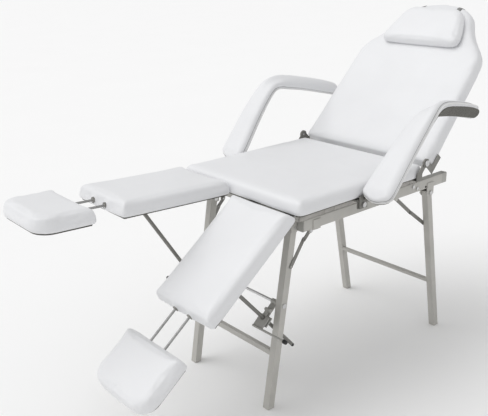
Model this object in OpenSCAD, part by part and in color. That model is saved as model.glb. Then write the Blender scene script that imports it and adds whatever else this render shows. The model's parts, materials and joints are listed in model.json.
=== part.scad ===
// Folding facial treatment bed with split leg rests, hinged backrest and side armrests.
// Millimetres, +Z up. X across the bed (+X is the sitter's left), -Y toward the feet.

/* [Seat] */
// Height of the seat cushion's top face
seat_top = 751; // [740:1:760]
// Half width of the seat cushion
seat_half = 293; // [288:1:296]
// Thickness of every cushion
pad_t = 42; // [36:1:44]
// Thickness of every plywood board
board_t = 12; // [10:1:12]

/* [Base frame] */
// Width of the side rail tube
rail_w = 28; // [26:1:28]
// Height of the side rail tube
rail_h = 40; // [38:1:40]
// Wall of every steel tube
wall = 1.8; // [1.5:0.1:2.5]

/* [Pose] */
// Left leg rest, degrees below level
leg_drop_left = 37.5; // [37.5]
// Right leg rest, degrees below level
leg_drop_right = -2.5; // [-2.5]
// Backrest angle above level
back_tilt = 47; // [47]
// Gap between the left leg pad and its foot pad
foot_gap_left = 123; // [110:1:130]
// Gap between the right leg pad and its foot pad
foot_gap_right = 85; // [80:1:95]

/* [Hidden] */

$fn = 48;
e = 0.01;
// The whole model is shifted so that its box is centred on the origin
y_shift = -166.5;
vinyl = [0.92, 0.92, 0.93];
frame_grey = [0.67, 0.66, 0.63];
dark_steel = [0.25, 0.25, 0.25];
black = [0.08, 0.08, 0.08];
bright = [0.75, 0.75, 0.75];

// Side rails
rail_out = 250;
rail_in = rail_out - rail_w;
rail_top = 665;
rail_bot = rail_top - rail_h;
rail_y0 = -3;
rail_y1 = 746;
runner_top = 697;
bolt_r = 4;
bolt_bore = 4.06;

// Leg frames: pivots and lean
front_pivot = [-13, 634];
front_lean = 9;
rear_pivot = [672, 606];
rear_lean = 11.4;
leg_w = 28;
front_leg_x = 201.5;
rear_leg_x = 236;
rear_leg_w = 27;
lock_rod = [-57, 370];

// Folding braces: frame pivot, leg pivot and link lengths
fb_frame = [54, 609];
fb_leg = [-28, 503];
fb_upper = 36.5;
fb_lower = 98;
rb_frame = [508, 611];
rb_leg = [704, 460];
rb_link = 123.25;
link_t = 2.5;
link_h = 14;

// Leg rests and foot rests
hinge = [-71, 693];
pad_in = 24;
pad_out = 295;
leg_s0 = 6;
leg_s1 = 422;
rod_x = [125, 195];
rod_n = 26;
rod_r = 4;
foot_len = 185;
strut_x = 175;
strut_s = 270;
strut_n = -20;
strut_r = 6.5;
strut_len = 440;
guide_d = 66.6;

// Backrest
back_axis = [556, 754];
back_top = -2.5;

// angle of the strut above level, from the pad pivot and the lock rod
function pad_y(t, s, n) = hinge[0] - s * cos(t) - n * sin(t);
function pad_z(t, s, n) = hinge[1] - s * sin(t) + n * cos(t);
function strut_dy(t) = pad_y(t, strut_s, strut_n) - lock_rod[0];
function strut_dz(t) = pad_z(t, strut_s, strut_n) - lock_rod[1];
function strut_span(t) = norm([strut_dy(t), strut_dz(t)]);
function strut_up(t) = sqrt(pow(strut_span(t), 2) - guide_d * guide_d);
function strut_turn(t) =
  90 - atan2(strut_dz(t), -strut_dy(t)) - atan2(guide_d, strut_up(t));

// knee of a two-link brace, on the side given by sgn
function knee(a, b, la, lb, sgn) =
  let (d = norm(b - a), k = (la * la - lb * lb + d * d) / (2 * d),
       h = sqrt(max(0, la * la - k * k)), u = (b - a) / d)
  a + k * u + sgn * h * [-u[1], u[0]];
fb_knee = knee(fb_frame, fb_leg, fb_upper, fb_lower, -1);
rb_knee = knee(rb_frame, rb_leg, rb_link, rb_link + 1, -1);

module place() { translate([0, y_shift, 0]) children(); }
module both() {
  children();
  mirror([1, 0, 0]) children();
}

// rectangle with true round corners, centred
module round_rect(w, h, r) {
  square([w - 2 * r, h], center = true);
  square([w, h - 2 * r], center = true);
  for (x = [-1, 1], y = [-1, 1])
    translate([x * (w / 2 - r), y * (h / 2 - r)]) circle(r, $fn = 32);
}
module tube_section(w, h, r = 4) {
  difference() {
    round_rect(w, h, r);
    round_rect(w - 2 * wall, h - 2 * wall, max(0.5, r - wall));
  }
}
// round bar along X from x0 to x1
module bar_x(x0, x1, r, y, z) {
  translate([x0, y, z]) rotate([0, 90, 0]) cylinder(r = r, h = x1 - x0);
}
// tube of the section w (X) by h (Z) along Y
module tube_y(x, y0, y1, z, w, h) {
  translate([x, y0, z]) rotate([-90, 0, 0]) linear_extrude(y1 - y0) tube_section(w, h);
}
module tube_x(x0, x1, y, z, w, h) {
  translate([x0, y, z]) rotate([90, 0, 90]) linear_extrude(x1 - x0) tube_section(w, h);
}
// flat link between two points of the YZ plane, lying from x0 to x0 + t
module link(a, b, x0, t, w, bore) {
  d = norm(b - a);
  translate([x0, a[0], a[1]]) rotate([atan2(b[1] - a[1], b[0] - a[0]), 0, 0])
    rotate([90, 0, 90]) difference() {
      linear_extrude(t) {
        circle(w / 2);
        translate([0, -w / 2]) square([d, w]);
        translate([d, 0]) circle(w / 2);
      }
      for (p = [0, d]) translate([p, 0, -1]) cylinder(r = bore, h = t + 2);
    }
}

// ---- base frame ----
module rail() {
  color(frame_grey) place() difference() {
    tube_y(rail_out - rail_w / 2, rail_y0, rail_y1, rail_top - rail_h / 2, rail_w, rail_h);
    translate([rail_out - wall - 1, 640, 630]) cube([wall + 2, 10, 8]);
  }
}
module rail_left() { rail(); }
module rail_right() { mirror([1, 0, 0]) rail(); }
module rail_end_caps() {
  x = rail_out - rail_w / 2;
  z = rail_top - rail_h / 2;
  color(dark_steel) place() both() {
    translate([x, rail_y0, z]) rotate([90, 0, 0]) linear_extrude(4)
      round_rect(rail_w, rail_h, 4);
    translate([x, rail_y1, z]) rotate([-90, 0, 0]) linear_extrude(30)
      round_rect(rail_w, rail_h, 4);
  }
}
module runner() {
  color(frame_grey) place() tube_y(236.5, 0, 590, 681, 25, 32);
}
module seat_runner_left() { runner(); }
module seat_runner_right() { mirror([1, 0, 0]) runner(); }
module front_cross_tube() {
  color(frame_grey) place() tube_x(-249, 249, -15, 681, 30, 32);
}
module rear_cross_tube() {
  color(frame_grey) place() tube_x(-249, 249, 602.5, 681, 25, 32);
}
module seat_board() {
  z = seat_top - pad_t - board_t;
  color(black) place() translate([0, 243, z]) linear_extrude(board_t)
    round_rect(566, 604, 20);
}
module seat_cushion() {
  color(vinyl) place() translate([0, 241.5, seat_top - pad_t]) linear_extrude(pad_t)
    round_rect(2 * seat_half, 621, 26);
}
// folded saddle that carries each front leg under the front cross tube
module front_leg_brackets() {
  color(frame_grey) place() both() difference() {
    union() {
      translate([183.2, -30, 662]) cube([36.6, 33, 3]);
      for (x = [183.2, 216.8]) translate([x, -30, 622]) cube([3, 33, 41]);
      for (x = [183.2, 216.8]) bar_x(x, x + 3, 16, -13, 634);
    }
    bar_x(180, 222, bolt_r, front_pivot[0], front_pivot[1]);
  }
}
// side plates that carry each rear leg under the rail
module rear_leg_brackets() {
  color(frame_grey) place() both() difference() {
    union() {
      for (x = [219.2, 250]) {
        translate([x, 652, 600]) cube([2.8, 40, 46]);
        bar_x(x, x + 2.8, 18, rear_pivot[0], rear_pivot[1]);
      }
    }
    bar_x(210, 260, bolt_r, rear_pivot[0], rear_pivot[1]);
  }
}
module brace_brackets() {
  color(frame_grey) place() both() {
    // front: angle under the rail, with a lug below it and a plate on the outer face
    difference() {
      union() {
        translate([250, 36, 622.5]) cube([2.5, 34, 34]);
        translate([222, 36, 622.5]) cube([30, 34, 2.5]);
        translate([222, 44, 609]) cube([3, 20, 14]);
        bar_x(222, 225, 9, fb_frame[0], fb_frame[1]);
      }
      bar_x(215, 230, 3, fb_frame[0], fb_frame[1]);
    }
    // rear: plate on the inner face of the rail
    difference() {
      union() {
        translate([219.6, 494, 611]) cube([2.4, 28, 44]);
        bar_x(219.6, 222, 9, rb_frame[0], rb_frame[1]);
      }
      bar_x(215, 230, 3, rb_frame[0], rb_frame[1]);
    }
  }
}
module ratchet_seat_arms() {
  color(dark_steel) place() both() difference() {
    union() {
      bar_x(299, 302, 16, back_axis[0], back_axis[1]);
      translate([299, 556, 754]) rotate([-130, 0, 0]) translate([0, 0, -11])
        cube([3, 48, 22]);
      translate([299, 510, 694]) cube([3, 30, 32]);
      translate([250.5, 510, 694]) cube([51, 30, 3]);
    }
    bar_x(290, 312, bolt_r, back_axis[0], back_axis[1]);
  }
}
// arm bracket: flat bar under the seat board with an upright lug at its outer end
module armrest_brackets() {
  color(dark_steel) place() both() difference() {
    union() {
      translate([250.5, 195, 691]) cube([49.5, 44, 6]);
      translate([295, 195, 668]) cube([5, 44, 27]);
    }
    bar_x(280, 340, 5, 217, 681);
  }
}
hinge_x = [80, 240];
module seat_hinge_leaves() {
  color(bright) place() both() for (x = hinge_x) {
    translate([x - 25, -65.5, 695]) cube([50, 34.5, 2]);
    translate([x - 9.8, -71, 695]) cube([19.6, 8, 2]);
    bar_x(x - 9.8, x + 9.8, 4, hinge[0], hinge[1]);
    bar_x(x - 25, x + 25, 2, hinge[0], hinge[1]);
  }
}
module frame_bolts() {
  color(bright) place() both() {
    bar_x(183, 220, bolt_r, front_pivot[0], front_pivot[1]);
    bar_x(178.4, 183.2, 7.5, front_pivot[0], front_pivot[1]);
    bar_x(219, 253, bolt_r, rear_pivot[0], rear_pivot[1]);
    bar_x(252.8, 257.5, 8, rear_pivot[0], rear_pivot[1]);
    bar_x(214.6, 219.2, 8, rear_pivot[0], rear_pivot[1]);
    bar_x(218.9, 225, 3, fb_frame[0], fb_frame[1]);
    bar_x(225, 228, 6, fb_frame[0], fb_frame[1]);
    bar_x(216.5, 222, 3, rb_frame[0], rb_frame[1]);
    bar_x(213.5, 216.7, 7, rb_frame[0], rb_frame[1]);
    bar_x(299, 306, bolt_r, back_axis[0], back_axis[1]);
    bar_x(305.8, 310, 11, back_axis[0], back_axis[1]);
    bar_x(291, 311, 5, 217, 681);
    bar_x(306.8, 311, 9, 217, 681);
    bar_x(250, 254, 7, 564, 652);
    bar_x(250, 253, 6, 590, 640);
  }
}

// ---- leg frames ----
module leg_tube(x, w, pivot, lean, len) {
  difference() {
    translate([x, pivot[0], pivot[1]]) rotate([lean, 0, 0]) difference() {
      union() {
        translate([0, 0, -len]) linear_extrude(len) tube_section(w, leg_w, 3);
        rotate([0, 90, 0]) cylinder(d = leg_w, h = w, center = true);
      }
      translate([-w / 2 + wall, -leg_w / 2 + wall, -30])
        cube([w - 2 * wall, leg_w - 2 * wall, 60]);
      rotate([0, 90, 0]) cylinder(r = bolt_bore, h = w + 4, center = true);
    }
    translate([x - 100, pivot[0] - 400, -100]) cube([200, 800, 100]);
  }
}
module front_leg() {
  color(frame_grey) place() {
    difference() {
      leg_tube(front_leg_x, leg_w, front_pivot, -front_lean, 660);
      bar_x(180, 222, 5, lock_rod[0], lock_rod[1]);
    }
    // stud of the folding brace
    bar_x(214, 219, 3, fb_leg[0], fb_leg[1]);
  }
}
module front_leg_left() { front_leg(); }
module front_leg_right() { mirror([1, 0, 0]) front_leg(); }
module front_crossbar() {
  y = front_pivot[0] - (front_pivot[1] - 195) * tan(front_lean);
  color(frame_grey) place() translate([0, y, 195]) rotate([-front_lean, 0, 0])
    tube_x(-187.5, 187.5, 0, 0, 20, 20);
}
module lock_cross_rod() {
  color(bright) place() {
    bar_x(-218, 218, 5, lock_rod[0], lock_rod[1]);
    both() bar_x(215.5, 219, 8, lock_rod[0], lock_rod[1]);
  }
}
module rear_leg() {
  color(frame_grey) place() {
    leg_tube(rear_leg_x, rear_leg_w, rear_pivot, rear_lean, 640);
    // stud of the folding brace
    bar_x(219.4, 224, 3, rb_leg[0], rb_leg[1]);
  }
}
module rear_leg_left() { rear_leg(); }
module rear_leg_right() { mirror([1, 0, 0]) rear_leg(); }
module rear_crossbar() {
  color(frame_grey) place() translate([0, rear_pivot[0], rear_pivot[1]])
    rotate([rear_lean, 0, 0]) translate([0, -6, -400]) tube_x(-222.5, 222.5, 0, 0, 16, 16);
}
module front_brace_uppers() {
  color(dark_steel) place() both()
    link(fb_frame, fb_knee, 219.2, link_t, link_h, 3.05);
}
module front_brace_lowers() {
  color(dark_steel) place() both() link(fb_leg, fb_knee, 216.2, link_t, link_h, 3.05);
}
module rear_brace_uppers() {
  color(dark_steel) place() both()
    link(rb_frame, rb_knee, 216.9, 2.4, link_h, 3.05);
}
module rear_brace_lowers() {
  color(dark_steel) place() both()
    link(rb_leg, rb_knee, 219.6, 2.4, link_h, 3.05);
}

// ---- backrest ----
// half width of the back at a distance s from its hinge: straight sides, shoulders,
// then a domed head
shoulder = [[0, 299], [250, 290], [350, 286], [410, 283], [440, 280], [465, 277],
            [487, 265], [512, 246], [538, 221], [564, 200], [591, 182], [620, 168],
            [648, 154], [672, 128], [690, 98], [702, 55], [706, 0]];
back_s = concat([for (i = [0:9]) i * 45 + 4],
                [for (i = [0:24]) 450 + 256 * (1 - pow(1 - i / 24, 1.8))]);
function back_half(s) = lookup(s, shoulder);
function back_outline(inset) = concat(
  [for (s = back_s) [max(2, back_half(s) - inset), s * (706 - inset) / 706]],
  [for (i = [len(back_s) - 1:-1:0]) let (s = back_s[i])
    [-max(2, back_half(s) - inset), s * (706 - inset) / 706]]);
module at_back() {
  place() translate([0, back_axis[0], back_axis[1]]) rotate([back_tilt, 0, 0]) children();
}
module back_slab(inset, n0, n1) {
  translate([0, 0, n0]) linear_extrude(n1 - n0) intersection() {
    polygon(back_outline(inset));
    translate([-400, 4]) square([800, 724 - inset]);
  }
}
module back_board() {
  color(black) at_back() back_slab(8, back_top - pad_t - board_t, back_top - pad_t);
}
module back_cushion() {
  color(vinyl) at_back() back_slab(0, back_top - pad_t, back_top);
}
module ratchet_back_arms() {
  color(dark_steel) at_back() both() difference() {
    union() {
      bar_x(302.3, 305.4, 16, 0, 0);
      translate([302.3, -9, -59.5]) cube([3.1, 22, 60]);
      translate([302.3, 0, -59.5]) cube([3.1, 62, 22]);
      translate([252.5, 30, -59.5]) cube([52, 32, 3]);
    }
    bar_x(295, 312, bolt_bore, 0, 0);
  }
}
// right half of the pillow outline: bowed sides, narrower toward the head
pillow_half = [[146, 490], [168, 499], [174, 514], [171, 532], [163, 562], [152, 594],
               [138, 623], [118, 647], [96, 659], [70, 663]];
module pillow() {
  color(vinyl) at_back() translate([0, 0, back_top + 0.4]) linear_extrude(34)
    polygon(concat(pillow_half, [for (i = [len(pillow_half) - 1:-1:0])
      [-pillow_half[i][0], pillow_half[i][1]]]));
}
// two elastic straps over the top of the head end, down the back of the board
module pillow_strap() {
  n0 = back_top - pad_t - board_t;
  color(black) at_back() both() {
    translate([76, 664.4, back_top + 0.5]) cube([22, 34, 1.3]);
    translate([76, 697.1, n0 - 1.8]) cube([22, 1.3, pad_t + board_t + 3.6]);
    translate([76, 590, n0 - 1.8]) cube([22, 108.4, 1.3]);
  }
}

// ---- leg rests ----
module at_leg(side) {
  t = side > 0 ? leg_drop_left : leg_drop_right;
  place() translate([0, hinge[0], hinge[1]]) rotate([t, 0, 0])
    scale([1, 1, 1]) mirror([side > 0 ? 0 : 1, 0, 0]) children();
}
// pad outline: x from pad_in to pad_out, y measured from the hinge toward the feet
module pad_outline(s0, s1, x0, x1, r0, r1) {
  difference() {
    translate([x0, -s1]) square([x1 - x0, s1 - s0]);
    for (k = [0, 1]) {
      x = k == 0 ? x0 : x1;
      d = k == 0 ? 1 : -1;
      translate([x + d * r1, -s1 + r1]) pad_corner(d, -1, r1);
      translate([x + d * r0, -s0 - r0]) pad_corner(d, 1, r0);
    }
  }
}
module pad_corner(dx, dy, r) {
  difference() {
    translate([dx > 0 ? -r - 1 : 0, dy > 0 ? 0 : -r - 1]) square([r + 1, r + 1]);
    circle(r, $fn = 64);
  }
}
module leg_board() {
  translate([0, 0, 4]) linear_extrude(board_t)
    pad_outline(leg_s0, leg_s1 - 6, pad_in + 6, pad_out - 8, 8, 14);
}
module leg_cushion() {
  difference() {
    translate([0, 0, 4 + board_t]) linear_extrude(pad_t)
      pad_outline(2, leg_s1, pad_in, pad_out, 12, 22);
    for (x = rod_x) translate([x, -leg_s1 - 1, rod_n]) rotate([-90, 0, 0])
      cylinder(r = 8, h = 212);
  }
}
module leg_hinges() {
  for (x = hinge_x) {
    for (k = [-1, 1]) difference() {
      union() {
        bar_x(x + k * 17.5 - 7.4, x + k * 17.5 + 7.4, 4, 0, 0);
        translate([x + k * 17.5 - 7.4, -8, 2]) cube([14.8, 8, 2]);
      }
      bar_x(x - 30, x + 30, 2.04, 0, 0);
    }
    translate([x - 25, -38, 2]) cube([50, 32, 2]);
  }
}
module strut_bracket() {
  difference() {
    union() {
      translate([150, -strut_s - 25, 1.5]) cube([50, 50, 2.5]);
      for (x = [163.3, 183.7]) {
        translate([x, -strut_s - 12, strut_n]) cube([3, 24, 1.5 - strut_n + 1]);
        bar_x(x, x + 3, 12, -strut_s, strut_n);
      }
      bar_x(158.5, 165.5, 7, -strut_s, strut_n);
      bar_x(184.5, 191.5, 7, -strut_s, strut_n);
    }
  }
}
module rod_sleeves() {
  for (x = rod_x) translate([x, -leg_s1 - 5, rod_n]) rotate([-90, 0, 0]) difference() {
    union() {
      cylinder(r = 8, h = 215);
      cylinder(r = 10, h = 5);
    }
    translate([0, 0, -1]) cylinder(r = rod_r + 0.05, h = 230);
  }
}
module leg_board_left() { color(black) at_leg(1) leg_board(); }
module leg_cushion_left() { color(vinyl) at_leg(1) leg_cushion(); }
module leg_hinges_left() { color(bright) at_leg(1) leg_hinges(); }
module strut_bracket_left() { color(dark_steel) at_leg(1) strut_bracket(); }
module rod_sleeves_left() { color(dark_steel) at_leg(1) rod_sleeves(); }
module leg_board_right() { color(black) at_leg(-1) leg_board(); }
module leg_cushion_right() { color(vinyl) at_leg(-1) leg_cushion(); }
module leg_hinges_right() { color(bright) at_leg(-1) leg_hinges(); }
module strut_bracket_right() { color(dark_steel) at_leg(-1) strut_bracket(); }
module rod_sleeves_right() { color(dark_steel) at_leg(-1) rod_sleeves(); }

// ---- foot rests ----
module foot_board(gap) {
  s0 = leg_s1 + gap;
  translate([0, 0, 4]) linear_extrude(board_t)
    pad_outline(s0 + 6, s0 + foot_len - 6, 36, 294, 8, 54);
}
module foot_cushion(gap) {
  s0 = leg_s1 + gap;
  difference() {
    translate([0, 0, 4 + board_t]) linear_extrude(pad_t)
      pad_outline(s0, s0 + foot_len, 30, 300, 10, 60);
    for (x = rod_x) translate([x, -s0 - 140, rod_n]) rotate([-90, 0, 0])
      cylinder(r = rod_r, h = 145);
  }
}
module foot_rods(gap) {
  s0 = leg_s1 + gap;
  for (x = rod_x) translate([x, -s0 - 140, rod_n]) rotate([-90, 0, 0])
    cylinder(r = rod_r, h = 140 + 208);
}
module foot_board_left() { color(black) at_leg(1) foot_board(foot_gap_left); }
module foot_cushion_left() { color(vinyl) at_leg(1) foot_cushion(foot_gap_left); }
module foot_rods_left() { color(bright) at_leg(1) foot_rods(foot_gap_left); }
module foot_board_right() { color(black) at_leg(-1) foot_board(foot_gap_right); }
module foot_cushion_right() { color(vinyl) at_leg(-1) foot_cushion(foot_gap_right); }
module foot_rods_right() { color(bright) at_leg(-1) foot_rods(foot_gap_right); }

// ---- leg-rest supports ----
// local frame at the lock rod: -Y away from the rod toward the strut, +Z up the strut
module at_lock(side) {
  t = side > 0 ? leg_drop_left : leg_drop_right;
  place() translate([0, lock_rod[0], lock_rod[1]]) rotate([strut_turn(t), 0, 0])
    mirror([side > 0 ? 0 : 1, 0, 0]) children();
}
module strut(up) {
  translate([strut_x, -guide_d, up]) {
    difference() {
      union() {
        translate([0, 0, -strut_len]) cylinder(r = strut_r, h = strut_len - 6);
        rotate([0, 90, 0]) cylinder(r = 8, h = 12, center = true);
      }
      rotate([0, 90, 0]) cylinder(r = 4, h = 20, center = true);
    }
  }
}
module lock_guide() {
  difference() {
    union() {
      bar_x(161, 186, 9, 0, 0);
      translate([161, -56, -1.5]) cube([25, 52, 3]);
      translate([153, -90, -1.5]) cube([50, 36, 3]);
      translate([strut_x, -guide_d, -24]) cylinder(r = 10.5, h = 24);
      for (x = [163, 183]) translate([x, -42, 0]) cube([3, 12, 9]);
      for (x = [163, 183]) bar_x(x, x + 3, 6, -36, 9);
      bar_x(163, 186, 3, -36, 9);
    }
    bar_x(155, 190, 5.05, 0, 0);
    translate([strut_x, -guide_d, -30]) cylinder(r = strut_r + 0.05, h = 60);
  }
}
module release_lever() {
  difference() {
    union() {
      bar_x(166.3, 182.7, 5.5, -36, 9);
      translate([166.3, -62, 7.5]) cube([16.4, 26, 3]);
      translate([156, -104, 7.5]) cube([44, 44, 3]);
      bar_x(156, 298, 4, -104, 9);
      bar_x(296, 312, 6.5, -104, 9);
    }
    bar_x(160, 190, 3.05, -36, 9);
    translate([strut_x, -guide_d, 0]) cylinder(r = 9.5, h = 30);
  }
}
module strut_left() { color(dark_steel) at_lock(1) strut(strut_up(leg_drop_left)); }
module strut_right() { color(dark_steel) at_lock(-1) strut(strut_up(leg_drop_right)); }
module lock_guide_left() { color(frame_grey) at_lock(1) lock_guide(); }
module lock_guide_right() { color(frame_grey) at_lock(-1) lock_guide(); }
module release_lever_left() { color(dark_steel) at_lock(1) release_lever(); }
module release_lever_right() { color(dark_steel) at_lock(-1) release_lever(); }

// ---- armrests ----
// stations of the bent pad: outer edge and inner edge of its board
arm_out = [[404, 206, 702], [415, 232, 730], [418, 340, 862], [416, 420, 946],
           [410, 462, 976], [402, 510, 984], [388, 600, 972], [368, 710, 950],
           [350, 795, 926]];
arm_in = [[312, 206, 702], [302, 232, 730], [324, 342, 858], [343, 425, 934],
          [356, 472, 946], [360, 515, 940], [352, 600, 926], [340, 710, 902],
          [333, 785, 884]];
function unit(v) = v / norm(v);
function arm_mid(i) = (arm_out[i] + arm_in[i]) / 2;
function arm_tan(i) = unit(arm_mid(min(8, i + 1)) - arm_mid(max(0, i - 1)));
function arm_nrm(i) = unit(cross(unit(arm_out[i] - arm_in[i]), arm_tan(i)));
// closed band between two heights n0 and n1 over the stations, inset along its edges
module arm_band(n0, n1, g) {
  w = [for (i = [0:8]) unit(arm_out[i] - arm_in[i])];
  pts = [for (i = [0:8]) each [
    arm_in[i] + w[i] * g + arm_nrm(i) * n0, arm_out[i] - w[i] * g + arm_nrm(i) * n0,
    arm_out[i] - w[i] * g + arm_nrm(i) * n1, arm_in[i] + w[i] * g + arm_nrm(i) * n1]];
  sides = [for (i = [0:7], k = [0:3]) each [
    [i * 4 + k, i * 4 + 4 + k, i * 4 + (k == 2 ? 7 : (k + 1) % 4)],
    [i * 4 + (k + 1) % 4, i * 4 + (k == 2 ? 2 : 4 + k), i * 4 + 4 + (k + 1) % 4]]];
  polyhedron(points = pts,
    faces = concat([[0, 1, 2], [0, 2, 3], [34, 33, 32], [35, 34, 32]], sides),
    convexity = 6);
}
module armrest_board() {
  place() arm_band(-9, 0, 0);
}
// steel hanger screwed under the low end of the armrest board
module armrest_hanger() {
  place() difference() {
    union() {
      translate([300.6, 198, 668]) cube([5, 38, 42]);
      translate([300.6, 213, 696.5]) rotate([47, 0, 0]) translate([0, 3, -5.6])
        cube([44, 32, 4]);
    }
    bar_x(290, 360, 5.06, 217, 681);
  }
}
module armrest_hanger_left() { color(dark_steel) armrest_hanger(); }
module armrest_hanger_right() { color(dark_steel) mirror([1, 0, 0]) armrest_hanger(); }
module armrest_board_left() { color(black) armrest_board(); }
module armrest_cushion_left() { color(vinyl) place() arm_band(0, 26, 0); }
module armrest_board_right() { color(black) mirror([1, 0, 0]) armrest_board(); }
module armrest_cushion_right() {
  color(vinyl) mirror([1, 0, 0]) place() arm_band(0, 26, 0);
}

// ---- draw ----
rail_left();
rail_right();
rail_end_caps();
seat_runner_left();
seat_runner_right();
front_cross_tube();
rear_cross_tube();
seat_board();
seat_cushion();
front_leg_brackets();
rear_leg_brackets();
brace_brackets();
ratchet_seat_arms();
armrest_brackets();
seat_hinge_leaves();
frame_bolts();
front_leg_left();
front_leg_right();
front_crossbar();
lock_cross_rod();
rear_leg_left();
rear_leg_right();
rear_crossbar();
front_brace_uppers();
front_brace_lowers();
rear_brace_uppers();
rear_brace_lowers();
back_board();
back_cushion();
ratchet_back_arms();
pillow();
pillow_strap();
leg_board_left();
leg_cushion_left();
leg_hinges_left();
strut_bracket_left();
rod_sleeves_left();
leg_board_right();
leg_cushion_right();
leg_hinges_right();
strut_bracket_right();
rod_sleeves_right();
foot_board_left();
foot_cushion_left();
foot_rods_left();
foot_board_right();
foot_cushion_right();
foot_rods_right();
strut_left();
strut_right();
lock_guide_left();
lock_guide_right();
release_lever_left();
release_lever_right();
armrest_board_left();
armrest_cushion_left();
armrest_board_right();
armrest_cushion_right();
armrest_hanger_left();
armrest_hanger_right();
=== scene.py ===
import bpy, bmesh, json, math
import numpy as np
from mathutils import Vector, Matrix
from mathutils.bvhtree import BVHTree
from mathutils.geometry import delaunay_2d_cdt

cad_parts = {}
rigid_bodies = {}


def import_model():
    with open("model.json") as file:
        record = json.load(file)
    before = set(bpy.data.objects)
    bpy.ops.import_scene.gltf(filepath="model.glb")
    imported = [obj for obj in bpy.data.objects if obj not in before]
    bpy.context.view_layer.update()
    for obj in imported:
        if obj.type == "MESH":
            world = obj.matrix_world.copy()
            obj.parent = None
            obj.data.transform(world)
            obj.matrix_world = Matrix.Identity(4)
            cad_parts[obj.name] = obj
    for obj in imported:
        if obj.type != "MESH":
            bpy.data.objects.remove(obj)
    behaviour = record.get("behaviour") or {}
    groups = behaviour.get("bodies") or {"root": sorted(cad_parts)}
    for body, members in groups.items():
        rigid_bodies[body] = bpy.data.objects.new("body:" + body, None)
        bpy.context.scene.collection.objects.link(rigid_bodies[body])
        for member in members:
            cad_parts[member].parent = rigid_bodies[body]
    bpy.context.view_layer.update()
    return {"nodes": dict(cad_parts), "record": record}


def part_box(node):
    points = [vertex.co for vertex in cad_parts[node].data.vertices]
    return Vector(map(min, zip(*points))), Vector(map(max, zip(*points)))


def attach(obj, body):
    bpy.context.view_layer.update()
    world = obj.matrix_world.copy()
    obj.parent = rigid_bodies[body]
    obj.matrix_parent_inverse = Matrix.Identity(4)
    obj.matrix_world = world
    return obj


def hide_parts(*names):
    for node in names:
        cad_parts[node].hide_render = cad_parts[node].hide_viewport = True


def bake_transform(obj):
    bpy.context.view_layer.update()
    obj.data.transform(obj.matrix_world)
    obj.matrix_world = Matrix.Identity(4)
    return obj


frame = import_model()
NODES = frame["nodes"]

# ------------------------------------------------------------------ design values (metres)
Y0 = -0.1665                                  # the design's Y origin in the row frame
HINGE = Vector((0, -0.071 + Y0, 0.693))       # hinge line of the leg rests
HINGE_X = (0.080, 0.240)                      # the two hinges of a leg rest
BACK_AXIS = Vector((0, 0.556 + Y0, 0.754))    # hinge line of the backrest
RECLINE = 47                                  # backrest above level, degrees
LOCK_ROD = Vector((0, -0.057 + Y0, 0.370))    # rod that carries the lock guides
TILT = {"left": 37.5, "right": -2.5}          # leg rests below level, degrees
SIDE = {"left": 1, "right": -1}
REST_TOP = 0.058                              # top of leg and foot pads above the hinge line
LEG_LOW = 0.0074                              # where the vinyl of a leg pad turns in
LEG_END = 0.422                               # far end of a leg pad
FOOT_LOW = 0.0070
FOOT_START = {"left": 0.545, "right": 0.507}  # near end of each foot pad, from the hinge line
FOOT_LENGTH = 0.185
BACK_LOW = -0.0531
BACK_TOP = -0.0025
COVER = 0.0034                                # depth of the dark cover under a pad
ROD_X = (0.125, 0.195)                        # the two slide rods of a foot rest
ROD_N = 0.026                                 # height of the rods above the hinge line
STRUT_X = 0.175
STRUT_EYE = (0.270, -0.020)                   # along and above the leg rest
STRUT_OFFSET = 0.0666                         # from the lock rod to the strut's line
STRUT_LENGTH = 0.440
LEVER_END = Vector((0.300, -0.104, 0.009))
PLACE = Matrix.Identity(4)                    # for pieces given in the row frame


def at_leg(side):
    """Leg-rest frame: x toward the outside, -y toward the feet, z out of the pad."""
    m = Matrix.Translation(HINGE) @ Matrix.Rotation(math.radians(TILT[side]), 4, "X")
    return m @ Matrix.Diagonal((SIDE[side], 1, 1, 1))


def at_back():
    """Backrest frame: x to the left side, y up the back, z out of the pad."""
    return Matrix.Translation(BACK_AXIS) @ Matrix.Rotation(math.radians(RECLINE), 4, "X")


# ------------------------------------------------------------------ materials
def new_mat(name, color, rough, metal=0.0):
    """A plain material, with its node tree and its shader node."""
    m = bpy.data.materials.new(name)
    m.use_nodes = True
    b = m.node_tree.nodes["Principled BSDF"]
    b.inputs["Base Color"].default_value = (*color, 1)
    b.inputs["Roughness"].default_value = rough
    b.inputs["Metallic"].default_value = metal
    return m, m.node_tree, b


def tex(nt, kind, scale, **kw):
    """A texture node in object coordinates; kw sets its sockets or its properties."""
    t = nt.nodes.new(kind)
    t.inputs["Scale"].default_value = scale
    for k, v in kw.items():
        if k in t.inputs:
            t.inputs[k].default_value = v
        else:
            setattr(t, k, v)
    c = nt.nodes.get("coord") or nt.nodes.new("ShaderNodeTexCoord")
    c.name = "coord"
    nt.links.new(c.outputs["Object"], t.inputs["Vector"])
    return t


def vary(nt, b, color, amount, scale, detail=3.0):
    """Slow colour variation around the base colour."""
    n = tex(nt, "ShaderNodeTexNoise", scale, Detail=detail)
    r = nt.nodes.new("ShaderNodeValToRGB")
    r.color_ramp.elements[0].position = 0.3
    r.color_ramp.elements[1].position = 0.7
    r.color_ramp.elements[0].color = (*[c * (1 - amount) for c in color], 1)
    r.color_ramp.elements[1].color = (*[min(1, c * (1 + amount)) for c in color], 1)
    nt.links.new(n.outputs["Fac"], r.inputs["Fac"])
    nt.links.new(r.outputs["Color"], b.inputs["Base Color"])
    return r


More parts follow.
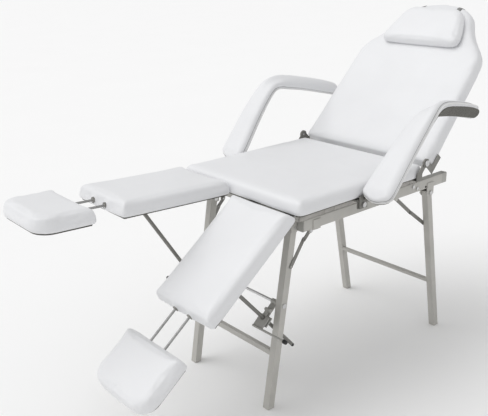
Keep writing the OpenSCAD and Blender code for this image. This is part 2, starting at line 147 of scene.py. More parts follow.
def bumps(nt, b, layers):
    """layers of (height output, strength, distance), chained into the shader's normal."""
    last = None
    for out, strength, dist in layers:
        n = nt.nodes.new("ShaderNodeBump")
        n.inputs["Strength"].default_value = strength
        n.inputs["Distance"].default_value = dist
        nt.links.new(out, n.inputs["Height"])
        if last:
            nt.links.new(last.outputs["Normal"], n.inputs["Normal"])
        last = n
    nt.links.new(last.outputs["Normal"], b.inputs["Normal"])


def rough_range(nt, b, lo, hi, scale):
    """Roughness that wanders between lo and hi."""
    n = tex(nt, "ShaderNodeTexNoise", scale, Detail=4.0)
    mr = nt.nodes.new("ShaderNodeMapRange")
    mr.inputs["From Min"].default_value = 0.3
    mr.inputs["From Max"].default_value = 0.7
    mr.inputs["To Min"].default_value = lo
    mr.inputs["To Max"].default_value = hi
    nt.links.new(n.outputs["Fac"], mr.inputs["Value"])
    nt.links.new(mr.outputs["Result"], b.inputs["Roughness"])


def vinyl(name, color):
    m, nt, b = new_mat(name, color, 0.42)
    vary(nt, b, color, 0.018, 5.0)
    rough_range(nt, b, 0.38, 0.5, 12.0)
    grain = tex(nt, "ShaderNodeTexVoronoi", 620.0)
    fine = tex(nt, "ShaderNodeTexNoise", 1500.0, Detail=2.0)
    soft = tex(nt, "ShaderNodeTexNoise", 16.0, Detail=2.0)
    bumps(nt, b, [(soft.outputs["Fac"], 0.10, 0.010), (grain.outputs["Distance"], 0.16, 0.0004),
                  (fine.outputs["Fac"], 0.08, 0.0002)])
    b.inputs["Coat Weight"].default_value = 0.10
    b.inputs["Coat Roughness"].default_value = 0.35
    return m


def paint(name, color, rough=0.45, wear=0.06):
    m, nt, b = new_mat(name, color, rough)
    vary(nt, b, color, wear, 14.0, 6.0)
    rough_range(nt, b, rough - 0.06, rough + 0.1, 40.0)
    orange = tex(nt, "ShaderNodeTexNoise", 420.0, Detail=2.0)
    bumps(nt, b, [(orange.outputs["Fac"], 0.18, 0.0003)])
    return m


def steel(name, color, rough, metal=0.9):
    m, nt, b = new_mat(name, color, rough, metal)
    vary(nt, b, color, 0.10, 30.0, 5.0)
    rough_range(nt, b, rough - 0.08, rough + 0.1, 60.0)
    s = tex(nt, "ShaderNodeTexNoise", 300.0, Detail=3.0)
    bumps(nt, b, [(s.outputs["Fac"], 0.10, 0.0002)])
    return m


def woven(name, color, scale=420.0):
    m, nt, b = new_mat(name, color, 0.85)
    vary(nt, b, color, 0.15, 25.0)
    w1 = tex(nt, "ShaderNodeTexWave", scale, wave_type="BANDS", bands_direction="X")
    w2 = tex(nt, "ShaderNodeTexWave", scale, wave_type="BANDS", bands_direction="Y")
    bumps(nt, b, [(w1.outputs["Fac"], 0.3, 0.0004), (w2.outputs["Fac"], 0.3, 0.0004)])
    b.inputs["Sheen Weight"].default_value = 0.2
    return m


def rubber(name, color):
    m, nt, b = new_mat(name, color, 0.6)
    vary(nt, b, color, 0.12, 40.0)
    n = tex(nt, "ShaderNodeTexNoise", 700.0)
    bumps(nt, b, [(n.outputs["Fac"], 0.2, 0.0003)])
    return m


WHITE = (0.765, 0.77, 0.785)
M_VINYL = vinyl("white_vinyl", WHITE)
M_PIPE = vinyl("white_piping", (0.78, 0.78, 0.775))
M_PAINT = paint("frame_powder_coat", (0.49, 0.48, 0.45))
M_DARK = steel("grey_lacquered_steel", (0.22, 0.215, 0.20), 0.42, 0.35)
M_BRIGHT = steel("zinc_plate", (0.60, 0.60, 0.60), 0.32)
M_BOARD = woven("dark_cover_cloth", (0.085, 0.083, 0.068))
M_CAP = paint("grey_end_cap", (0.42, 0.415, 0.39), 0.55)
M_RUBBER = rubber("black_rubber", (0.02, 0.02, 0.02))
M_SEAM = vinyl("grey_seam_thread", (0.30, 0.30, 0.29))
M_STRAP = woven("grey_elastic", (0.22, 0.22, 0.215), 700.0)
# band colour a little darker than the frame paint: painted shade under the overhanging seat
M_SHADE_BAND = woven("grey_band_painted_shade", (0.43, 0.415, 0.39))
M_ROD = steel("satin_rod_steel", (0.34, 0.34, 0.335), 0.3, 0.75)
M_LIGHT = paint("light_hardware_paint", (0.42, 0.415, 0.39))
BY_SLOT = {"frame_paint": M_PAINT, "dark_steel": M_DARK, "bright_steel": M_BRIGHT,
           "vinyl": M_VINYL, "board": M_BOARD, "black_plastic": M_RUBBER,
           "grey_plastic": M_CAP, "strap": M_STRAP}
for part in frame["record"]["subparts"]:
    obj = NODES[part["node"]]
    for s in obj.material_slots:
        s.material = BY_SLOT[part["material_slot"]]
        if part["node"].startswith("foot_rods"):
            s.material = M_ROD
        if part["node"].startswith(("release_lever", "lock_guide", "strut_bracket")):
            s.material = M_LIGHT

# ------------------------------------------------------------------ mesh helpers


def make(name, verts, faces, mat, body, smooth=True):
    """A mesh piece in the given material; with a body it rides that body."""
    me = bpy.data.meshes.new(name)
    me.from_pydata([tuple(v) for v in verts], [], [tuple(f) for f in faces])
    me.validate()
    bm = bmesh.new()
    bm.from_mesh(me)
    bmesh.ops.recalc_face_normals(bm, faces=bm.faces)
    bm.to_mesh(me)
    bm.free()
    o = bpy.data.objects.new(name, me)
    bpy.context.scene.collection.objects.link(o)
    me.materials.append(mat)
    for p in me.polygons:
        p.use_smooth = smooth
    if body:
        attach(o, body)
    return o


def apply_mods(o):
    """Keep what the modifiers make as the object's own mesh."""
    dg = bpy.context.evaluated_depsgraph_get()
    me = bpy.data.meshes.new_from_object(o.evaluated_get(dg))
    old = o.data
    o.modifiers.clear()
    o.data = me
    bpy.data.meshes.remove(old)
    for p in me.polygons:
        p.use_smooth = True


def coords(me):
    co = np.empty(len(me.vertices) * 3)
    me.vertices.foreach_get("co", co)
    return co.reshape(-1, 3)


def put_coords(me, co):
    me.vertices.foreach_set("co", np.asarray(co, float).ravel())
    me.update()


def edge_distance(pts, loop, firm=None):
    """Distance from each point to the nearest side of a closed loop; firm sides count four times."""
    pts = np.asarray(pts, float)
    loop = np.asarray(loop, float)
    best = np.full(len(pts), 1e9)
    for a, b in zip(loop, np.roll(loop, -1, axis=0)):
        ab = b - a
        t = np.clip(((pts - a) @ ab) / max(1e-12, ab @ ab), 0, 1)
        far = np.hypot(*(pts - a - t[:, None] * ab).T)
        best = np.minimum(best, far * 4.0 if firm and firm((a[1] + b[1]) / 2) else far)
    return best


def densify(loop, step):
    """A closed loop with extra points, none farther apart than step."""
    out = []
    n = len(loop)
    for i in range(n):
        a, b = Vector(loop[i]), Vector(loop[(i + 1) % n])
        k = max(1, int(math.ceil((b - a).length / step)))
        out += [tuple(a.lerp(b, j / k)) for j in range(k)]
    return out


def rounded(corners, radii, seg=10):
    """Closed outline through the corners, each rounded by its own radius."""
    out = []
    n = len(corners)
    for i in range(n):
        p, a, b = Vector(corners[i]), Vector(corners[i - 1]), Vector(corners[(i + 1) % n])
        u, v = (a - p).normalized(), (b - p).normalized()
        half = math.acos(max(-1, min(1, u.dot(v)))) / 2
        t = radii[i] / math.tan(half)
        c = p + (u + v).normalized() * (radii[i] / math.sin(half))
        a0, a1 = p + u * t - c, p + v * t - c
        ang0, ang1 = math.atan2(a0.y, a0.x), math.atan2(a1.y, a1.x)
        d = (ang1 - ang0 + math.pi) % (2 * math.pi) - math.pi
        out += [(c.x + radii[i] * math.cos(ang0 + d * k / seg),
                 c.y + radii[i] * math.sin(ang0 + d * k / seg)) for k in range(seg + 1)]
    return out


def inside_loop(pts, arr):
    """Which points lie inside a closed loop."""
    ok = np.zeros(len(pts), bool)
    for p, q in zip(arr, np.roll(arr, -1, axis=0)):
        if p[1] == q[1]:
            continue
        cond = (p[1] > pts[:, 1]) != (q[1] > pts[:, 1])
        ok ^= cond & (pts[:, 0] < (q[0] - p[0]) * (pts[:, 1] - p[1]) / (q[1] - p[1]) + p[0])
    return ok


def pad_mesh(outline, n0, n1, edge, under=0.011, step=0.008, power=2.2, crown=0.0, firm=None):
    """Wrapped pad between n0 and n1: rolled over the top edge, turned in under the bottom edge."""
    loop = densify(outline, step * 0.8)
    arr = np.array(loop)
    lo, hi = arr.min(0), arr.max(0)
    grid = np.array([(x, y) for x in np.arange(lo[0] + step, hi[0], step)
                     for y in np.arange(lo[1] + step, hi[1], step)])
    grid = grid[inside_loop(grid, arr)]
    grid = grid[edge_distance(grid, arr) > step * 0.5]
    n = len(loop)
    flat = [Vector(p) for p in loop] + [Vector(p) for p in grid]
    vs, _, fs, *_ = delaunay_2d_cdt(flat, [(i, (i + 1) % n) for i in range(n)], [], 1, 1e-6)
    pts = np.array([(v.x, v.y) for v in vs])
    d = edge_distance(pts, arr, firm)
    roll = lambda r, p: (1 - (1 - np.clip(d / r, 0, 1)) ** p) ** (1 / p)
    mid = n0 + min(under * 1.1, (n1 - n0) * 0.35)
    top = mid + 0.002 + (n1 - mid - 0.002) * roll(edge, power)
    top += crown * np.clip(d / 0.14, 0, 1) ** 0.8
    bot = mid - (mid - n0) * roll(under, 2.0)
    m = len(pts)
    verts = [(p[0], p[1], z) for p, z in zip(pts, top)] + [(p[0], p[1], z) for p, z in zip(pts, bot)]
    faces = [tuple(f) for f in fs] + [tuple(i + m for i in reversed(f)) for f in fs]
    used = {(f[i], f[(i + 1) % len(f)]) for f in fs for i in range(len(f))}
    faces += [(j, i, i + m, j + m) for i, j in used if (j, i) not in used]
    return verts, faces


def puff(o, base_n, cap, voxel, pin=0.002, pressure=4.0, frames=14, stiff=14.0, hold=None):
    """Remesh, swell with cloth pressure, cap the movement and apply it all."""
    r = o.modifiers.new("remesh", "REMESH")
    r.mode = "VOXEL"
    r.voxel_size = voxel
    apply_mods(o)
    me = o.data
    start = coords(me)
    vg = o.vertex_groups.new(name="held")
    held = [i for i, z in enumerate(start[:, 2]) if z < base_n + pin] if base_n is not None else []
    if hold:
        held = [int(i) for i in hold(start)]
    if held:
        vg.add(held, 1.0, "REPLACE")
    c = o.modifiers.new("cloth", "CLOTH")
    s = c.settings
    s.quality = 4
    s.mass = 0.3
    s.tension_stiffness = s.compression_stiffness = stiff
    s.shear_stiffness = stiff * 0.6
    s.bending_stiffness = 1.5
    s.use_pressure = True
    s.uniform_pressure_force = pressure
    s.effector_weights.gravity = 0
    c.collision_settings.use_collision = False
    if held:
        s.vertex_group_mass = "held"
    sc = bpy.context.scene
    c.point_cache.frame_start = 1
    c.point_cache.frame_end = frames
    for f in range(1, frames + 1):
        sc.frame_set(f)
    apply_mods(o)
    sc.frame_set(1)
    now = coords(o.data)
    mv = now - start
    ln = np.linalg.norm(mv, axis=1)
    k = np.where(ln > cap, cap / np.maximum(ln, 1e-9), 1.0)
    put_coords(o.data, start + mv * k[:, None])
    o.vertex_groups.clear()
    return o


def finish_pad(o, mat_world, mat, body, nodes, target=None):
    sm = o.modifiers.new("smooth", "SMOOTH")
    sm.factor = 0.5
    sm.iterations = 3
    apply_mods(o)
    if target:
        co = coords(o.data)
        lo, hi = co.min(0), co.max(0)
        t0, t1 = np.array(target[0]), np.array(target[1])
        put_coords(o.data, t0 + (co - lo) / (hi - lo) * (t1 - t0))
    o.data.transform(mat_world)
    if mat_world.determinant() < 0:
        o.data.flip_normals()
    sub = o.modifiers.new("sub", "SUBSURF")
    sub.levels = sub.render_levels = 1
    apply_mods(o)
    o.data.materials.clear()
    o.data.materials.append(mat)
    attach(o, body)
    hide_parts(*nodes)
    return o


def tube(name, pts, r, mat, body, closed=False, seg=8):
    """Round cord through the points."""
    pts = [Vector(p) for p in pts]
    n = len(pts)
    vs, fs = [], []
    up = Vector((0.13, 0.21, 0.97)).normalized()
    for i, p in enumerate(pts):
        a = pts[(i - 1) % n] if closed or i else p
        b = pts[(i + 1) % n] if closed or i < n - 1 else p
        t = (b - a).normalized()
        u = t.cross(up).normalized()
        v = t.cross(u)
        vs += [p + (u * math.cos(2 * math.pi * k / seg) + v * math.sin(2 * math.pi * k / seg)) * r
               for k in range(seg)]
    rings = n if closed else n - 1
    for i in range(rings):
        j = (i + 1) % n
        fs += [(i * seg + k, i * seg + (k + 1) % seg, j * seg + (k + 1) % seg, j * seg + k)
               for k in range(seg)]
    if not closed:
        fs += [tuple(range(seg)), tuple(range((n - 1) * seg, n * seg))]
    return make(name, vs, fs, mat, body)


def lathe(name, profile, m, mat, body, seg=24):
    """Turned shape: (radius, height) pairs about local z, placed by the matrix m."""
    vs, fs = [], []
    for r, z in profile:
        vs += [m @ Vector((r * math.cos(2 * math.pi * k / seg), r * math.sin(2 * math.pi * k / seg), z))
               for k in range(seg)]
    for i in range(len(profile) - 1):
        fs += [(i * seg + k, i * seg + (k + 1) % seg, (i + 1) * seg + (k + 1) % seg, (i + 1) * seg + k)
               for k in range(seg)]
    fs += [tuple(range(seg)), tuple(range((len(profile) - 1) * seg, len(profile) * seg))]
    return make(name, vs, fs, mat, body)


def facing(pos, direction):
    """Frame at pos whose z axis points along direction."""
    return Matrix.Translation(pos) @ Vector(direction).to_track_quat("Z", "Y").to_matrix().to_4x4()


def join(name, objs, body):
    """Several loose meshes as one piece."""
    bm = bmesh.new()
    mat = objs[0].data.materials[0]
    for o in objs:
        bm.from_mesh(o.data)
        me = o.data
        bpy.data.objects.remove(o)
        bpy.data.meshes.remove(me)
    me = bpy.data.meshes.new(name)
    bm.to_mesh(me)
    bm.free()
    o = bpy.data.objects.new(name, me)
    bpy.context.scene.collection.objects.link(o)
    me.materials.append(mat)
    for p in me.polygons:
        p.use_smooth = True
    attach(o, body)
    return o


# ------------------------------------------------------------------ cushions
def bump_mesh(m, profile, seg=20):
    """Loose turned form, to be melted into a pad by its remesh."""
    vs, fs = [], []
    for r, z in profile:
        vs += [m @ Vector((r * math.cos(2 * math.pi * k / seg), r * math.sin(2 * math.pi * k / seg), z))
               for k in range(seg)]
    for i in range(len(profile) - 1):
        fs += [(i * seg + k, i * seg + (k + 1) % seg, (i + 1) * seg + (k + 1) % seg, (i + 1) * seg + k)
               for k in range(seg)]
    fs += [tuple(reversed(range(seg))), tuple(range((len(profile) - 1) * seg, len(profile) * seg))]
    return vs, fs


def cushion(name, outline, n0, n1, edge, world, body, nodes, voxel=0.007, cap=0.004,
            shrink=0.001, crown=0.003, power=2.1, under=0.009, extra=(), firm=None,
            head=0.003, step=0.006):
    """A vinyl pad over an outline: built a little small, swollen, then brought to its full size."""
    mid = Vector((sum(p[0] for p in outline) / len(outline), sum(p[1] for p in outline) / len(outline)))
    w = max(abs(p[0] - mid.x) for p in outline)
    h = max(abs(p[1] - mid.y) for p in outline)
    small = [((p[0] - mid.x) * (1 - shrink / w) + mid.x, (p[1] - mid.y) * (1 - shrink / h) + mid.y)
             for p in outline]
    v, f = pad_mesh(small, n0, n1 - shrink - crown * 0.5, edge, under, step, power, crown, firm)
    for ev, ef in extra:
        k = len(v)
        v += [tuple(p) for p in ev]
        f += [tuple(i + k for i in q) for q in ef]
    o = make(name, v, f, M_VINYL, None)
    puff(o, n0, cap, voxel)
    proud = 0.003
    xs, ys = [p[0] for p in outline], [p[1] for p in outline]
    target = ((min(xs) - proud, min(ys) - (0.0055 if extra else proud), n0),
              (max(xs) + proud, max(ys) + head, n1 + 0.001))
    return finish_pad(o, world, M_VINYL, body, nodes, target=target)


def inward(loop, by):
    """Each point of the loop moved inward by a distance."""
    area2 = sum(a[0] * b[1] - b[0] * a[1] for a, b in zip(loop, loop[1:] + loop[:1]))
    sg = 1 if area2 > 0 else -1
    out = []
    k = len(loop)
    for i in range(k):
        t = (Vector(loop[(i + 1) % k]) - Vector(loop[i - 1])).normalized()
        out.append(Vector(loop[i]) + Vector((-t.y, t.x)) * by * sg)
    return out


def inset_loop(outline, by, step=0.008):
    """The outline moved inward by a distance, at even steps, less the points that cross over at corners."""
    loop = densify(outline, step)
    out = inward(loop, by)
    far = edge_distance([tuple(p) for p in out], loop)
    kept = []
    for p, d in zip(out, far):
        if d > by * 0.97 and (not kept or (p - kept[-1]).length > 0.0016):
            kept.append(p)
    return kept


def underside(name, outline, n, world, body, nodes, inset=0.0075, t=COVER, gap=0.034, bare=None):
    """Dust-cover cloth on the underside: a slack panel inside its rim, stapled but where bare."""
    rim = inset_loop(outline, inset)
    low = inward(rim, 0.0008)
    k = len(rim)
    inner = np.array([tuple(p) for p in low])
    lo, hi = inner.min(0), inner.max(0)
    grid = np.array([(x, y) for x in np.arange(lo[0] + 0.01, hi[0], 0.02)
                     for y in np.arange(lo[1] + 0.01, hi[1], 0.02)])
    grid = grid[inside_loop(grid, inner)]
    grid = grid[edge_distance(grid, inner) > 0.006]
    pts = low + [Vector(p) for p in grid]
    vv, _, ff, *_ = delaunay_2d_cdt(pts, [(i, (i + 1) % k) for i in range(k)], [], 1, 1e-6)
    vs = [(p.x, p.y, n + 0.0006) for p in rim]
    for q, p in enumerate(vv):
        slack = 0.0006 + 0.0002 * math.sin(p.x * 61) * math.sin(p.y * 47) if q >= k else 0
        vs.append((p.x, p.y, n - t + slack))
    fs = [(q, (q + 1) % k, k + (q + 1) % k, k + q) for q in range(k)]
    fs += [tuple(i + k for i in f) for f in ff]
    fs.append(tuple(range(k)))
    o = make(name, [world @ Vector(p) for p in vs], fs, M_BOARD, body)
    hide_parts(*nodes)
    line = inset_loop(outline, inset + 0.0045, 0.004)
    every = max(1, int(gap / 0.004))
    half, thin = 0.0055, 0.0005
    sv, sf = [], []
    for i in range(0, len(line), every):
        p = line[i]
        if bare and bare(p):
            continue
        tdir = (line[(i + 1) % len(line)] - line[i - 1]).normalized()
        side = Vector((-tdir.y, tdir.x))
        b0 = len(sv)
        for z in (n - t - 0.0006, n - t + 0.0002):
            for a, c in ((-half, -thin), (half, -thin), (half, thin), (-half, thin)):
                q = p + tdir * a + side * c
                sv.append(world @ Vector((q.x, q.y, z)))
        sf += [(b0, b0 + 1, b0 + 2, b0 + 3), (b0 + 4, b0 + 5, b0 + 6, b0 + 7)]
        sf += [(b0 + q, b0 + (q + 1) % 4, b0 + 4 + (q + 1) % 4, b0 + 4 + q) for q in range(4)]
    make(name + "_staples", sv, sf, M_BRIGHT, body, smooth=False)
    return o


seat_lo, seat_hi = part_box("seat_cushion")
board_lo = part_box("seat_board")[0]
seat_line = rounded([(seat_lo.x, seat_lo.y), (seat_hi.x, seat_lo.y), (seat_hi.x, seat_hi.y),
                     (seat_lo.x, seat_hi.y)], [0.024] * 4)
cushion("seat_pad", seat_line, board_lo.z + COVER, seat_hi.z, 0.017, PLACE, "frame",
        ["seat_cushion"], voxel=0.007, firm=lambda y: y > seat_hi.y - 0.020)
underside("seat_underside", seat_line, board_lo.z + COVER, PLACE, "frame", ["seat_board"])

# half width of the backrest: (distance up the back, half width), millimetres
SHOULDER = [(0, 299), (125, 294.5), (250, 290), (350, 286), (410, 283), (440, 281), (465, 276),
            (487, 265), (512, 246), (538, 221), (564, 200), (591, 182), (620, 168), (648, 153),
            (672, 128), (690, 96), (701, 55), (706, 18)]


def smooth_line(keys, n):
    """Catmull-Rom line through the keys."""
    out = []
    ks = [Vector(k) for k in keys]
    ks = [ks[0] * 2 - ks[1]] + ks + [ks[-1] * 2 - ks[-2]]
    for i in range(1, len(ks) - 2):
        for j in range(n):
            t = j / n
            a, b, c, d = ks[i - 1:i + 3]
            out.append(0.5 * (2 * b + (c - a) * t + (2 * a - 5 * b + 4 * c - d) * t * t
                              + (3 * b - a - 3 * c + d) * t ** 3))
    out.append(ks[-2])
    return out


half = smooth_line([(w / 1000, s / 1000) for s, w in SHOULDER], 5)
half = [Vector((p.x, max(0.004, p.y))) for p in half]
back_line = [(0.286, 0.0045)] + [(p.x, p.y) for p in half if p.y > 0.016] \
    + [(-p.x, p.y) for p in reversed(half) if p.y > 0.016] + [(-0.286, 0.0045)]
cushion("back_pad", back_line, BACK_LOW, BACK_TOP, 0.016, at_back(), "backrest", ["back_cushion"],
        voxel=0.007, firm=lambda y: y < 0.020)
underside("back_underside", back_line, BACK_LOW, at_back(), "backrest", ["back_board"],
          bare=lambda q: q.y < 0.080 and abs(q.x) > 0.200)

for side in ("left", "right"):
    body = "leg_rest_" + side
    w = at_leg(side)
    line = rounded([(0.024, -0.004), (0.295, -0.004), (0.295, -LEG_END), (0.024, -LEG_END)],
                   [0.010, 0.010, 0.011, 0.011])
    pockets = [bump_mesh(facing(Vector((x, -LEG_END + 0.030, ROD_N + 0.001)), (0, -1, 0)),
                         [(0.006, -0.004), (0.0165, 0.0), (0.0170, 0.025), (0.0150, 0.0305),
                          (0.0105, 0.0335), (0.004, 0.0345)]) for x in ROD_X]
    cushion("leg_pad_" + side, line, LEG_LOW, REST_TOP, 0.012, w, body, ["leg_cushion_" + side],
            voxel=0.006, extra=pockets, head=0.0005)
    underside("leg_underside_" + side, line, LEG_LOW, w, body, ["leg_board_" + side])
    near = -FOOT_START[side]
    far = near - FOOT_LENGTH
    foot = rounded([(0.030, near), (0.300, near), (0.300, far), (0.030, far)],
                   [0.005, 0.005, 0.058, 0.058])
    cushion("foot_pad_" + side, foot, FOOT_LOW, REST_TOP, 0.011, w, "foot_rest_" + side,
            ["foot_cushion_" + side], voxel=0.005, crown=0.002, power=2.2, step=0.0045)
    underside("foot_underside_" + side, foot, FOOT_LOW, w, "foot_rest_" + side, ["foot_board_" + side])
    collar = [(0.0050, -0.0005), (0.0056, 0.0), (0.0056, 0.0010), (0.0050, 0.0016), (0.0044, 0.0016)]
    rings = [lathe("r", collar, w @ facing(Vector((x, -LEG_END - 0.0045, ROD_N)), (0, -1, 0)),
                   M_CAP, None) for x in ROD_X]
    join("rod_ferrules_" + side, rings, body)

# head pillow: box-shaped
PILLOW = [(0.120, 0.4905), (0.150, 0.4925), (0.168, 0.501), (0.1735, 0.516), (0.171, 0.534),
          (0.163, 0.563), (0.152, 0.594), (0.138, 0.623), (0.119, 0.646), (0.096, 0.658),
          (0.060, 0.6625)]
pl = [(q.x, q.y) for q in smooth_line(PILLOW, 4)]
pl = pl + [(-x, y) for x, y in reversed(pl)]
cushion("pillow_pad", pl, -0.0021, 0.0335, 0.012, at_back(), "head_pillow", ["pillow"],
        voxel=0.005, cap=0.0035, crown=0.004, under=0.010)

# elastic bands of the pillow, laid on the surface of the head of the back pad
trees = [BVHTree.FromObject(bpy.data.objects[n], bpy.context.evaluated_depsgraph_get())
         for n in ("back_pad", "back_underside")]
BACK = at_back()


def band(name, k, w0, w1, n=44):
    rows = []
    for i in range(n + 1):
        a = math.radians(96 - 190 * i / n)
        row = []
        for x in (w0, (w0 + w1) / 2, w1):
            c = Vector((k * x, 0.640, -0.030))
            d = Vector((0, math.cos(a), math.sin(a)))
            far = BACK @ (c + d * 0.3)
            hits = [t.ray_cast(far, BACK.to_3x3() @ -d)[0] for t in trees]
            hit = min((h for h in hits if h), key=lambda h: (h - far).length)
            row.append(hit + (BACK.to_3x3() @ d) * 0.0018)
        rows.append(row)
    vs, fs = [], []
    for i, row in enumerate(rows):
        c = BACK @ Vector((row[1].x, 0.640, -0.030))
        vs += row + [p - (p - c).normalized() * 0.0012 for p in reversed(row)]
    for i in range(n):
        fs += [(i * 6 + q, i * 6 + (q + 1) % 6, i * 6 + 6 + (q + 1) % 6, i * 6 + 6 + q) for q in range(6)]
    fs += [tuple(range(6)), tuple(range(n * 6, n * 6 + 6))]
    o = make(name, vs, fs, M_STRAP, None)
    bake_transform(o)
    return o


for side, k in SIDE.items():
    strap = band("pillow_band_" + side, k, 0.077, 0.096)
    if side == "left":
        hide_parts("pillow_strap")

# ------------------------------------------------------------------ armrests
# outer and inner edge of the left armrest, millimetres
ARM_OUT = [(404, 206, 702), (415, 232, 730), (418, 340, 862), (416, 420, 946), (410, 462, 976),
           (402, 510, 984), (388, 600, 972), (368, 710, 950), (350, 795, 926)]
ARM_IN = [(312, 206, 702), (302, 232, 730), (324, 342, 858), (343, 425, 934), (356, 472, 946),
          (360, 515, 940), (352, 600, 926), (340, 710, 902), (333, 785, 884)]


def arm_frames(side):
    """Along the armrest: middle, direction across, half width, normal, direction along, run so far."""
    k = SIDE[side]
    a = smooth_line([(x * k / 1000, y / 1000 + Y0, z / 1000) for x, y, z in ARM_OUT], 7)
    b = smooth_line([(x * k / 1000, y / 1000 + Y0, z / 1000) for x, y, z in ARM_IN], 7)
    mid = [(p + q) / 2 for p, q in zip(a, b)]
    run = [0.0]
    for p, q in zip(mid, mid[1:]):
        run.append(run[-1] + (q - p).length)
    out = []
    for i, (p, q) in enumerate(zip(a, b)):
        t = (mid[min(len(mid) - 1, i + 1)] - mid[max(0, i - 1)]).normalized()
        wv = (p - q)
        nrm = wv.cross(t).normalized() * k
        if nrm.z < 0:
            nrm = -nrm
        out.append((mid[i], wv.normalized(), wv.length / 2, nrm, t, run[i]))
    return out, run[-1]


def end_round(s, total, r0, r1):
    """Share of the full half width left, near either end."""
    def f(u):
        return math.sqrt(max(0.0, 1 - (1 - min(1.0, u)) ** 2))
    return min(f(s / r0 + 0.02), f((total - s) / r1 + 0.02))


def arm_stations(side, n=96):
    """Armrest sections, closer near the ends: middle, across, half width, normal, end share."""
    fr, total = arm_frames(side)
    out = []
    for i in range(n + 1):
        s = (0.5 - 0.5 * math.cos(math.pi * i / n)) * total
        j = min(max(k for k in range(len(fr)) if fr[k][5] <= s + 1e-9), len(fr) - 2)
        t = (s - fr[j][5]) / max(1e-9, fr[j + 1][5] - fr[j][5])
        mid, wv, nrm = (fr[j][q].lerp(fr[j + 1][q], t) for q in (0, 1, 3))
        hw = fr[j][2] * (1 - t) + fr[j + 1][2] * t
        out.append((mid, wv.normalized(), hw, nrm.normalized(), end_round(s, total, 0.030, 0.026)))
    return out


def arm_section(h, lo, hi, top_r, low_r, seg=7):
    """Half-width h, height lo..hi: rounded box section as (across, up) pairs."""
    top_r, low_r = min(top_r, h * 0.9), min(low_r, h * 0.9)
    pts = []
    for cx, cz, r, a0 in ((h - top_r, hi - top_r, top_r, 0), (-(h - top_r), hi - top_r, top_r, 90),
                          (-(h - low_r), lo + low_r, low_r, 180), (h - low_r, lo + low_r, low_r, 270)):
        for q in range(seg + 1):
            a = math.radians(a0 + 90 * q / seg)
            pts.append((cx + r * math.cos(a), cz + r * math.sin(a)))
    return pts


def arm_loft(name, st, lo, hi, inset, top_r, low_r, mat):
    """Skin over the sections of an armrest."""
    vs, fs = [], []
    for mid, wv, hw, nrm, k in st:
        sec = arm_section(max(0.003, (hw - inset) * k), lo, hi - (hi - lo) * 0.25 * (1 - k), top_r, low_r)
        vs += [mid + wv * x + nrm * z for x, z in sec]
    m = len(sec)
    for i in range(len(st) - 1):
        fs += [(i * m + q, i * m + (q + 1) % m, (i + 1) * m + (q + 1) % m, (i + 1) * m + q)
               for q in range(m)]
    fs += [tuple(range(m)), tuple(range((len(st) - 1) * m, len(st) * m))]
    return make(name, vs, fs, mat, None)


for side in ("left", "right"):
    body = "arm_" + side
    st = arm_stations(side)
    o = arm_loft("arm_pad_" + side, st, -0.0066, 0.0250, 0.0005, 0.012, 0.005, M_VINYL)
    mids = np.array([tuple(q[0]) for q in st])
    nrms = np.array([tuple(q[3]) for q in st])

    def low_side(co):
        near = np.array([np.argmin(((mids - c) ** 2).sum(1)) for c in co])
        return np.nonzero(((co - mids[near]) * nrms[near]).sum(1) < -0.003)[0]

    puff(o, None, 0.003, 0.005, pressure=3.0, frames=10, hold=low_side)
    finish_pad(o, PLACE, M_VINYL, body, ["armrest_cushion_" + side])
    b = arm_loft("arm_underside_" + side, st, -0.0098, -0.0050, 0.0060, 0.0008, 0.0012, M_BOARD)
    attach(b, body)
    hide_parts("armrest_board_" + side)
    top = []
    for sgn in (1, -1):
        run = st if sgn == 1 else st[::-1]
        top += [mid + wv * sgn * max(0.003, hw * k) + nrm * 0.0015 for mid, wv, hw, nrm, k in run]
    tube("arm_piping_" + side, top, 0.0030, M_PIPE, body, closed=True)
    seam = []
    for sgn in (1, -1):
        run = st if sgn == 1 else st[::-1]
        seam += [mid + wv * sgn * max(0.003, (hw - 0.0004) * k) + nrm * 0.0098
                 for mid, wv, hw, nrm, k in run]
    tube("arm_seam_" + side, seam, 0.0009, M_SEAM, body, closed=True)

# ------------------------------------------------------------------ small pieces
def strut_frame(side):
    """Frame of the strut on the lock rod with z up the strut, and the strut's reach above the rod."""
    t = math.radians(TILT[side])
    s, n = STRUT_EYE
    p = HINGE + Vector((0, -s * math.cos(t) - n * math.sin(t), -s * math.sin(t) + n * math.cos(t)))
    d = p - LOCK_ROD
    up = math.sqrt(d.y ** 2 + d.z ** 2 - STRUT_OFFSET ** 2)
    phi = math.atan2(d.z, -d.y) + math.atan2(STRUT_OFFSET, up)
    m = Matrix.Translation(LOCK_ROD) @ Matrix.Rotation(math.pi / 2 - phi, 4, "X")
    return m @ Matrix.Diagonal((SIDE[side], 1, 1, 1)), up


for side in ("left", "right"):
    m, up = strut_frame(side)
    low = Matrix.Translation(Vector((STRUT_X, -STRUT_OFFSET, up - STRUT_LENGTH)))
    lathe("strut_tip_" + side, [(0.0035, -0.0125), (0.0056, -0.0118), (0.0061, -0.0100), (0.0061, -0.0002),
                                (0.0050, 0.0010)], m @ low, M_RUBBER, "strut_rod_" + side)
    grip = m @ facing(LEVER_END, (1, 0, 0))
    lathe("lever_grip_" + side, [(0.005, -0.001), (0.0068, 0.0), (0.0070, 0.0012), (0.0070, 0.0105),
                                 (0.0062, 0.0130), (0.0040, 0.0142)],
          grip, M_RUBBER, "release_" + side)


def screws(name, spots, body, m, r=0.0042):
    """Domed screws with a shallow round recess: (position, direction) in the frame m."""
    parts = []
    for p, d in spots:
        w = m @ facing(Vector(p), d)
        prof = [(r, -0.0004), (r, 0.0004), (r * 0.93, 0.0011), (r * 0.7, 0.0018), (r * 0.35, 0.0022),
                (r * 0.2, 0.0012)]
        parts.append(lathe("s", prof, w, M_BRIGHT, None, seg=16))
    return join(name, parts, body)


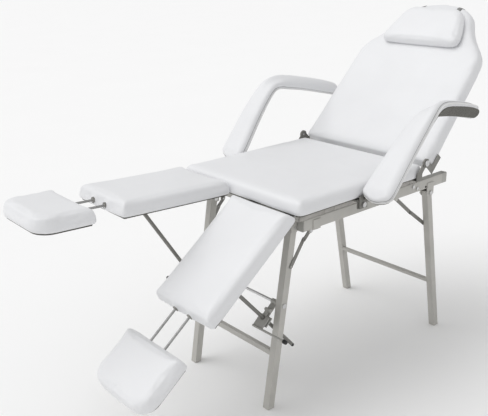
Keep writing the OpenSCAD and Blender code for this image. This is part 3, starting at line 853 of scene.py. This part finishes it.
spots = [((k * x + dx, -0.045 + Y0, 0.695), (0, 0, -1)) for k in (1, -1) for x in HINGE_X
         for dx in (-0.016, 0.016)]
screws("seat_hinge_screws", spots, "frame", PLACE)
for side in ("left", "right"):
    spots = [((x + dx, -0.026, 0.002), (0, 0, -1)) for x in HINGE_X for dx in (-0.016, 0.016)]
    spots += [((STRUT_X + dx, -STRUT_EYE[0] + dy, 0.0015), (0, 0, -1)) for dx in (-0.018, 0.018)
              for dy in (-0.018, 0.018)]
    screws("leg_hinge_screws_" + side, spots, "leg_rest_" + side, at_leg(side))
spots = [((k * 0.272, 0.046, -0.0595), (0, 0, -1)) for k in (1, -1)] \
    + [((k * 0.258, 0.052, -0.0595), (0, 0, -1)) for k in (1, -1)]
screws("back_arm_screws", spots, "backrest", at_back())

# grey band that closes the gap between the rails and the seat board, coloured a little darker than the
# frame paint as painted shade under the overhanging seat
rl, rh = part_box("seat_runner_left")
for side, k in (("left", 1), ("right", -1)):
    x = rh.x + 0.0006
    ys = np.linspace(rl.y - 0.026, rh.y, 40)
    vs, fs = [], []
    for i, y in enumerate(ys):
        bow = 0.0007 * math.sin(i * 1.7) + 0.0005 * math.sin(i * 0.6)
        for z in (rl.z + 0.0004, (rl.z + rh.z) / 2, rh.z - 0.0004):
            vs.append((k * (x + bow), y, z))
        for z in (rh.z - 0.0004, rl.z + 0.0004):
            vs.append((k * (x - 0.0004), y, z))
    for i in range(len(ys) - 1):
        fs += [(i * 5 + q, i * 5 + (q + 1) % 5, i * 5 + 5 + (q + 1) % 5, i * 5 + 5 + q)
               for q in range(5)]
    fs += [tuple(range(5)), tuple(range((len(ys) - 1) * 5, len(ys) * 5))]
    make("runner_cover_" + side, vs, fs, M_SHADE_BAND, "frame")

# ------------------------------------------------------------------ floor, light, camera
fl = bpy.data.meshes.new("floor")
ring = [(60 * math.cos(math.pi * k / 24), 60 * math.sin(math.pi * k / 24), 0) for k in range(48)]
fl.from_pydata(ring, [], [tuple(range(48))])
floor = bpy.data.objects.new("floor", fl)
bpy.context.scene.collection.objects.link(floor)
mf, ntf, bf = new_mat("pale_floor", (0.93, 0.93, 0.93), 0.9)
vary(ntf, bf, (0.93, 0.93, 0.93), 0.004, 1.5)
fl.materials.append(mf)
floor.location.z = -0.0005

world = bpy.data.worlds.new("studio")
bpy.context.scene.world = world
world.use_nodes = True
world.node_tree.nodes["Background"].inputs["Color"].default_value = (1.0, 1.0, 1.0, 1)
world.node_tree.nodes["Background"].inputs["Strength"].default_value = 0.66


def sun(name, frm, strength, spread):
    """A soft sun shining from the direction frm; spread in degrees."""
    lamp = bpy.data.lights.new(name, "SUN")
    lamp.energy = strength
    lamp.angle = math.radians(spread)
    o = bpy.data.objects.new(name, lamp)
    o.rotation_euler = Vector(frm).to_track_quat("Z", "Y").to_euler()
    bpy.context.scene.collection.objects.link(o)


sun("key", (-0.55, -0.75, 1.5), 1.05, 50)
sun("fill", (-0.6, -0.5, 0.7), 0.35, 80)

cam = bpy.data.cameras.new("view")
eye = bpy.data.objects.new("view", cam)
bpy.context.scene.collection.objects.link(eye)
cam.sensor_fit = "HORIZONTAL"
cam.sensor_width = 36.0
cam.lens = 712.7 / 488 * 36
az, el, roll = math.radians(49.0), math.radians(19.5), math.radians(-0.7)
back = Vector((math.sin(az) * math.cos(el), -math.cos(az) * math.cos(el), math.sin(el)))
right = (-back).cross(Vector((0, 0, 1))).normalized()
up = right.cross(-back)
r2 = right * math.cos(roll) + up * math.sin(roll)
u2 = up * math.cos(roll) - right * math.sin(roll)
m = Matrix((r2, u2, back)).transposed().to_4x4()
m.translation = Vector((1.7127, -1.5264 + Y0, 1.4544))
eye.matrix_world = m
bpy.context.scene.camera = eye
bpy.context.scene.view_settings.view_transform = "Standard"
